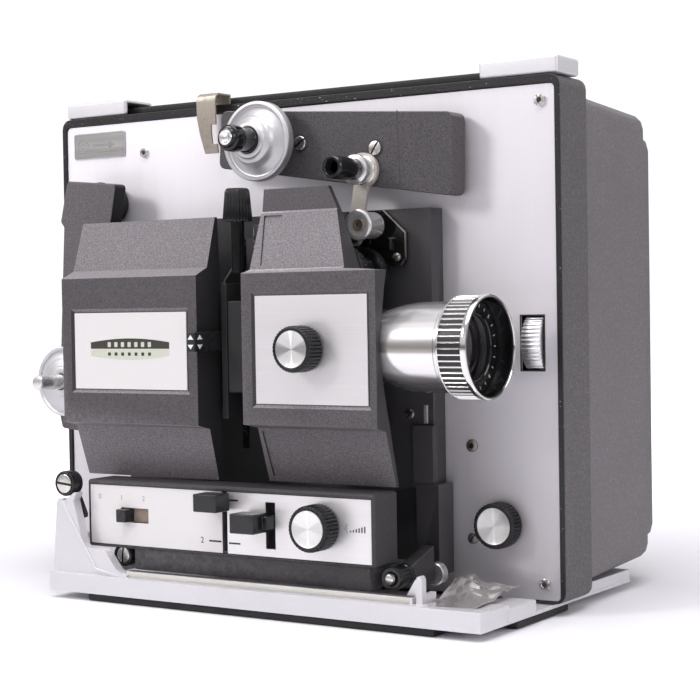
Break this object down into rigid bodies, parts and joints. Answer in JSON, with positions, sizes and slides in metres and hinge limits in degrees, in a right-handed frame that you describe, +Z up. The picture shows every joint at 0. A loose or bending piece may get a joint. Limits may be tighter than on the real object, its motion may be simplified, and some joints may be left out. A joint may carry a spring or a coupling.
{
  "type": "film projector",
  "caption": "Portable cine film projector in its case: lamp cover, opening gate cover, zoom lens, folding reel arms and a control box on a silver base.",
  "frame": {"origin": "on the table under the middle of the operator's plate, in the plane of that plate's face, at the underside of the rubber base pad", "axes": "+X to the right along the light path from the lamp to the lens, +Y from the operator's side to the back of the case, +Z up"},
  "size_m": [0.295, 0.1917, 0.2506],
  "materials": {
    "brushed_aluminium": "fine vertical brushed satin",
    "silver_casting": "satin silver enamel on a casting",
    "charcoal_case": "matte fine texture",
    "speckled_charcoal": "speckled charcoal crinkle paint",
    "black_enamel": "semi-matte black enamel",
    "black_plastic": "satin black moulding",
    "polished_chrome": "mirror",
    "nickel": "warm satin nickel",
    "black_rubber": "matte",
    "cream_panel": "satin pearl cream",
    "coated_glass": "coated lens glass",
    "ground_steel": "ground",
    "spun_aluminium": "spun concentric"
  },
  "bodies": {
    "chassis": {"front_plate": "brushed_aluminium", "case_front_frame": "charcoal_case", "main_shell": "charcoal_case", "back_cover": "charcoal_case", "base_casting": "silver_casting", "base_pad": "black_rubber", "handle_sleeve_left": "silver_casting", "handle_sleeve_right": "silver_casting", "label_plaque": "brushed_aluminium", "mechanism_plate": "black_enamel", "film_gate": "ground_steel", "lamp_house": "ground_steel", "projection_lamp": "coated_glass", "lens_carrier": "black_enamel", "lamp_cover": "speckled_charcoal", "lamp_cover_plaque": "cream_panel", "snubber_bracket": "black_enamel", "control_housing": "black_enamel", "control_panel_left": "cream_panel", "control_panel_right": "brushed_aluminium", "guide_link": "black_enamel", "motor_housing": "ground_steel", "transformer": "ground_steel", "power_inlet": "black_plastic", "drive_belt": "black_rubber"},
    "gate_door": {"gate_cover": "speckled_charcoal", "gate_cover_plate": "brushed_aluminium"},
    "focus_knob": {"focus_knob": "black_plastic"},
    "lens_unit": {"lens_barrel": "polished_chrome", "lens_bezel": "black_enamel", "front_glass": "coated_glass"},
    "lens_zoom_ring": {"lens_ring": "black_enamel"},
    "supply_arm": {"supply_arm": "speckled_charcoal"},
    "supply_hub": {"supply_disc": "spun_aluminium", "supply_spindle": "black_plastic"},
    "takeup_arm": {"takeup_arm": "speckled_charcoal"},
    "takeup_hub": {"takeup_disc": "spun_aluminium", "takeup_spindle": "polished_chrome"},
    "film_framer": {"film_framer": "black_plastic"},
    "pressure_plate": {"pressure_plate": "black_enamel"},
    "reverse_lever": {"reverse_lever": "black_enamel"},
    "snubber_arm": {"snubber_link": "polished_chrome"},
    "snubber_sleeve": {"snubber_sleeve": "black_plastic"},
    "snubber_roller": {"snubber_roller": "polished_chrome"},
    "upper_sprocket": {"upper_sprocket": "black_plastic"},
    "lower_sprocket": {"lower_sprocket": "black_plastic"},
    "speed_knob": {"speed_knob": "black_plastic"},
    "motor_switch": {"motor_switch": "black_plastic"},
    "format_lever": {"format_lever": "black_plastic"},
    "motion_lever": {"motion_lever": "black_plastic"},
    "guide_roller": {"guide_roller": "black_plastic"},
    "tilt_knob": {"tilt_knob": "black_plastic"},
    "elevating_foot": {"elevating_foot": "black_rubber"},
    "handle_strap": {"handle_strap": "black_rubber"},
    "cover_catch": {"cover_catch": "nickel"},
    "shutter_shaft": {"main_shaft": "ground_steel", "shutter_disc": "black_enamel", "inching_wheel": "spun_aluminium"},
    "motor_rotor": {"motor_shaft": "ground_steel", "cooling_fan": "black_plastic"}
  },
  "joints": [
    {"name": "gate_door_open", "type": "hinge", "parent": "chassis", "child": "gate_door", "pos_m": [0.012, -0.057, 0.1216], "axis": [0, 0, -1], "range_deg": [0, 95]},
    {"name": "focus_turn", "type": "hinge", "parent": "gate_door", "child": "focus_knob", "pos_m": [0.0469, -0.0573, 0.1216], "axis": [0, -1, 0], "range_deg": [-150, 150]},
    {"name": "focus_travel", "type": "slide", "parent": "chassis", "child": "lens_unit", "axis": [1, 0, 0], "range_m": [-0.0026, 0.0026]},
    {"name": "zoom_turn", "type": "hinge", "parent": "lens_unit", "child": "lens_zoom_ring", "pos_m": [0.115, -0.035, 0.1216], "axis": [1, 0, 0], "range_deg": [0, 90]},
    {"name": "supply_arm_swing", "type": "hinge", "parent": "chassis", "child": "supply_arm", "pos_m": [0.087, 0, 0.205], "axis": [0, 1, 0], "range_deg": [0, 108]},
    {"name": "supply_spin", "type": "hinge", "parent": "supply_arm", "child": "supply_hub", "pos_m": [0.0008, -0.0154, 0.2197], "axis": [0, 1, 0], "continuous": true},
    {"name": "takeup_arm_swing", "type": "hinge", "parent": "chassis", "child": "takeup_arm", "pos_m": [-0.112, 0, 0.196], "axis": [0, 1, 0], "range_deg": [0, 85]},
    {"name": "takeup_spin", "type": "hinge", "parent": "takeup_arm", "child": "takeup_hub", "pos_m": [-0.128, -0.0205, 0.1036], "axis": [0, 1, 0], "continuous": true},
    {"name": "framer_turn", "type": "hinge", "parent": "chassis", "child": "film_framer", "pos_m": [-0.0034, -0.038, 0.157], "axis": [0, 0, 1], "range_deg": [-60, 60]},
    {"name": "pressure_release", "type": "slide", "parent": "chassis", "child": "pressure_plate", "axis": [1, 0, 0], "range_m": [0, 0.0025], "stiffness_N_per_m": 60},
    {"name": "reverse_tilt", "type": "hinge", "parent": "chassis", "child": "reverse_lever", "pos_m": [-0.0123, -0.02, 0.1248], "axis": [1, 0, 0], "range_deg": [-8, 8]},
    {"name": "snubber_swing", "type": "hinge", "parent": "chassis", "child": "snubber_arm", "pos_m": [0.049, -0.017, 0.172], "axis": [0, 1, 0], "range_deg": [-10, 15], "stiffness_Nm_per_rad": 0.05},
    {"name": "snubber_sleeve_spin", "type": "hinge", "parent": "snubber_arm", "child": "snubber_sleeve", "pos_m": [0.0542, -0.035, 0.2034], "axis": [0, 1, 0], "continuous": true},
    {"name": "snubber_roller_spin", "type": "hinge", "parent": "chassis", "child": "snubber_roller", "pos_m": [0.0602, -0.025, 0.1774], "axis": [0, 1, 0], "continuous": true},
    {"name": "upper_sprocket_spin", "type": "hinge", "parent": "chassis", "child": "upper_sprocket", "pos_m": [0.054, -0.027, 0.155], "axis": [0, 1, 0], "continuous": true},
    {"name": "lower_sprocket_spin", "type": "hinge", "parent": "chassis", "child": "lower_sprocket", "pos_m": [0.054, -0.027, 0.088], "axis": [0, 1, 0], "continuous": true},
    {"name": "speed_turn", "type": "hinge", "parent": "chassis", "child": "speed_knob", "pos_m": [0.0544, -0.0579, 0.0419], "axis": [0, -1, 0], "range_deg": [-140, 140]},
    {"name": "motor_switch_slide", "type": "slide", "parent": "chassis", "child": "motor_switch", "axis": [1, 0, 0], "range_m": [0, 0.0102]},
    {"name": "format_slide", "type": "slide", "parent": "chassis", "child": "format_lever", "axis": [0, 0, -1], "range_m": [0, 0.0195]},
    {"name": "motion_slide", "type": "slide", "parent": "chassis", "child": "motion_lever", "axis": [0, 0, 1], "range_m": [-0.009, 0.0055]},
    {"name": "guide_roller_spin", "type": "hinge", "parent": "chassis", "child": "guide_roller", "pos_m": [0.0877, -0.046, 0.0201], "axis": [0, 1, 0], "continuous": true},
    {"name": "tilt_turn", "type": "hinge", "parent": "chassis", "child": "tilt_knob", "pos_m": [0.1157, -0.0005, 0.0398], "axis": [0, -1, 0], "range_deg": [0, 360]},
    {"name": "foot_slide", "type": "slide", "parent": "chassis", "child": "elevating_foot", "axis": [0, 0, -1], "range_m": [0, 0.018]},
    {"name": "strap_lift", "type": "slide", "parent": "chassis", "child": "handle_strap", "axis": [0, 0, 1], "range_m": [0, 0.0022]},
    {"name": "catch_swing", "type": "hinge", "parent": "chassis", "child": "cover_catch", "pos_m": [-0.0436, 0.0033, 0.2439], "axis": [-1, 0, 0], "range_deg": [0, 30], "stiffness_Nm_per_rad": 0.05},
    {"name": "shutter_spin", "type": "hinge", "parent": "chassis", "child": "shutter_shaft", "pos_m": [0, 0.0115, 0.1225], "axis": [1, 0, 0], "continuous": true},
    {"name": "motor_spin", "type": "hinge", "parent": "chassis", "child": "motor_rotor", "pos_m": [0, 0.062, 0.07], "axis": [1, 0, 0], "continuous": true}
  ],
  "couplings": [
    {"joint": "focus_turn", "follows": "focus_travel", "rad_per_m": 1000},
    {"joint": "tilt_turn", "follows": "foot_slide", "rad_per_m": 348},
    {"joint": "upper_sprocket_spin", "follows": "shutter_spin", "ratio": 0.083333},
    {"joint": "lower_sprocket_spin", "follows": "shutter_spin", "ratio": -0.083333},
    {"joint": "motor_spin", "follows": "shutter_spin", "ratio": 2.375}
  ]
}
